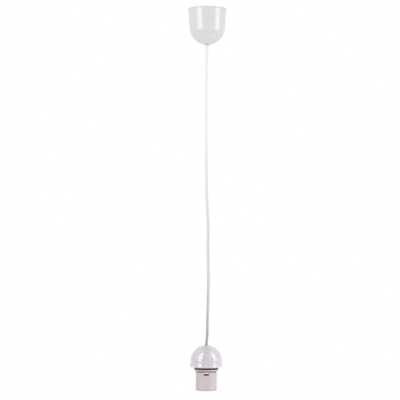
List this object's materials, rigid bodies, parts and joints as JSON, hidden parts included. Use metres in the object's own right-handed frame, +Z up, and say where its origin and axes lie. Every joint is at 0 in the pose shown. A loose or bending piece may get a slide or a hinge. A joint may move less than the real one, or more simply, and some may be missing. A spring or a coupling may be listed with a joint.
{
  "type": "ceiling pendant cord set",
  "caption": "Pendant cord set: white ceiling cup with hook and cord clamp, pale round cord, and a screw lampholder under a domed cover.",
  "frame": {"origin": "centre of the fixing plate's top face, on the ceiling, on the axis of the cup and the lampholder", "axes": "+Z up into the ceiling, the cord hangs along -Z; -Y is the side with the front latch window"},
  "size_m": [0.0736, 0.0736, 0.7135],
  "materials": {
    "canopy_white": "gloss",
    "dome_milky": "satin",
    "holder_plastic": "satin",
    "gasket_rubber": "matte",
    "cord_pvc": "satin",
    "nylon": "satin",
    "insert_ceramic": "satin",
    "core_brown": "satin",
    "core_blue": "satin",
    "brass": "satin",
    "steel": "satin"
  },
  "bodies": {
    "ceiling_fixing": {"ceiling_plate": "steel", "plate_screw_left": "steel", "plate_screw_right": "steel", "hook_nut": "steel", "ceiling_hook": "steel"},
    "bail": {"suspension_bail": "steel"},
    "hanger": {"cord_clamp": "nylon", "clamp_jaw": "nylon", "clamp_screw_front": "steel", "clamp_screw_back": "steel", "terminal_housing": "nylon", "terminal_barrel_live": "brass", "terminal_barrel_neutral": "brass", "terminal_screw_live_house": "steel", "terminal_screw_live_lamp": "steel", "terminal_screw_neutral_house": "steel", "terminal_screw_neutral_lamp": "steel", "terminal_fixing_screw": "steel", "top_core_live": "core_brown", "top_core_neutral": "core_blue", "cord": "cord_pvc"},
    "canopy": {"canopy_cup": "canopy_white", "canopy_grommet": "canopy_white"},
    "holder": {"cord_grip": "holder_plastic", "grip_screw": "nylon", "grip_locknut": "steel", "holder_cap": "holder_plastic", "gasket_ring": "gasket_rubber", "contact_insert": "insert_ceramic", "insert_screw_front": "steel", "insert_screw_back": "steel", "holder_terminal_centre": "brass", "holder_terminal_side": "brass", "holder_terminal_screw_centre": "steel", "holder_terminal_screw_side": "steel", "contact_rivet_centre": "brass", "contact_rivet_side": "brass", "bottom_core_live": "core_brown", "bottom_core_neutral": "core_blue", "side_contact": "brass", "holder_skirt": "holder_plastic", "screw_shell": "brass"},
    "dome": {"dome_cover": "dome_milky"},
    "centre_tongue": {"centre_contact": "brass"},
    "latch_front": {"latch_front": "holder_plastic"},
    "latch_back": {"latch_back": "holder_plastic"}
  },
  "joints": [
    {"name": "bail_swing", "type": "hinge", "parent": "ceiling_fixing", "child": "bail", "pos_m": [0, 0, -0.019], "axis": [1, 0, 0], "range_deg": [-4, 4]},
    {"name": "clamp_swing", "type": "hinge", "parent": "bail", "child": "hanger", "pos_m": [0, 0, -0.042], "axis": [0, 1, 0], "range_deg": [-4, 4]},
    {"name": "canopy_slide", "type": "slide", "parent": "hanger", "child": "canopy", "axis": [0, 0, 1], "range_m": [-0.3, 0], "deforming": ["cord"]},
    {"name": "holder_turn", "type": "hinge", "parent": "hanger", "child": "holder", "pos_m": [0, 0, -0.65], "axis": [0, 0, 1], "range_deg": [-180, 180]},
    {"name": "dome_slide", "type": "slide", "parent": "holder", "child": "dome", "axis": [0, 0, 1], "range_m": [0, 0.045], "deforming": ["cord"]},
    {"name": "centre_contact_flex", "type": "hinge", "parent": "holder", "child": "centre_tongue", "pos_m": [0.0084, 0, -0.67442], "axis": [0, 1, 0], "range_deg": [0, 10], "stiffness_Nm_per_rad": 0.13, "deforming": ["centre_contact"]},
    {"name": "latch_front_press", "type": "hinge", "parent": "holder", "child": "latch_front", "pos_m": [0, -0.01343, -0.67417], "axis": [1, 0, 0], "range_deg": [0, 22], "stiffness_Nm_per_rad": 0.33},
    {"name": "latch_back_press", "type": "hinge", "parent": "holder", "child": "latch_back", "pos_m": [0, 0.01343, -0.67417], "axis": [-1, 0, 0], "range_deg": [0, 22], "stiffness_Nm_per_rad": 0.33}
  ]
}
